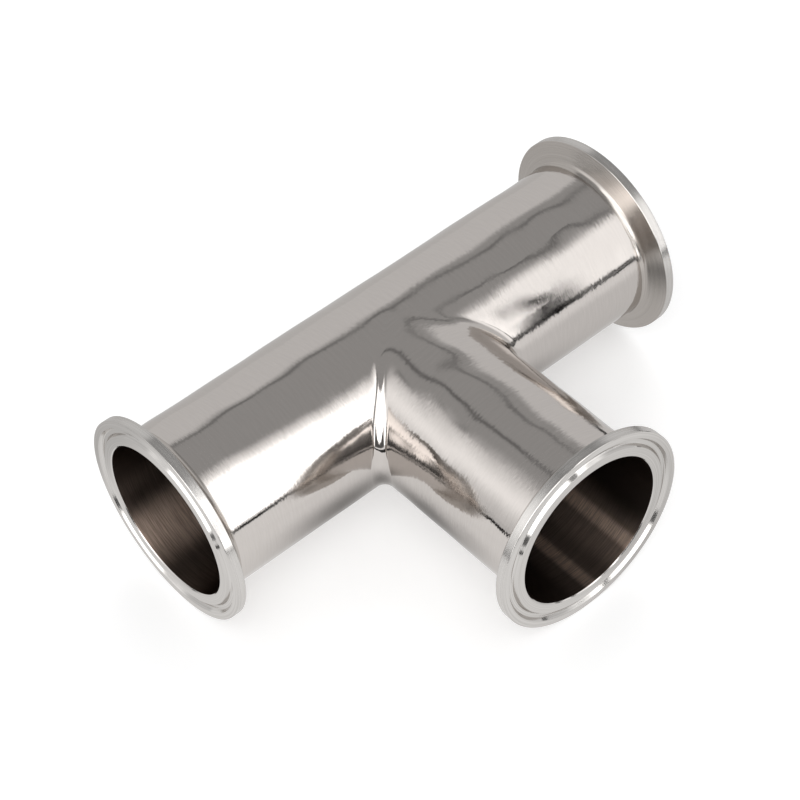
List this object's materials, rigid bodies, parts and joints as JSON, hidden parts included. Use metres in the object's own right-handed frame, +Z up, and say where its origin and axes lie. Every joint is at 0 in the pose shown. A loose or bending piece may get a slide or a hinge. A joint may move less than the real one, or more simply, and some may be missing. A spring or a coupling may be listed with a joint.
{
  "type": "sanitary clamp tee",
  "caption": "Equal tee for hygienic tube: a straight run with a side branch, each end a grooved flange that takes a gasket and a hinged clamp.",
  "frame": {"origin": "where the axes of the run and the branch cross", "axes": "+X along the run, the branch points to -Y, +Z up; the fitting lies on the rims of its flanges"},
  "size_m": [0.164, 0.114, 0.064],
  "materials": {
    "polished_steel": "polished"
  },
  "bodies": {
    "root": {"clamp_tee": "polished_steel"}
  },
  "joints": []
}
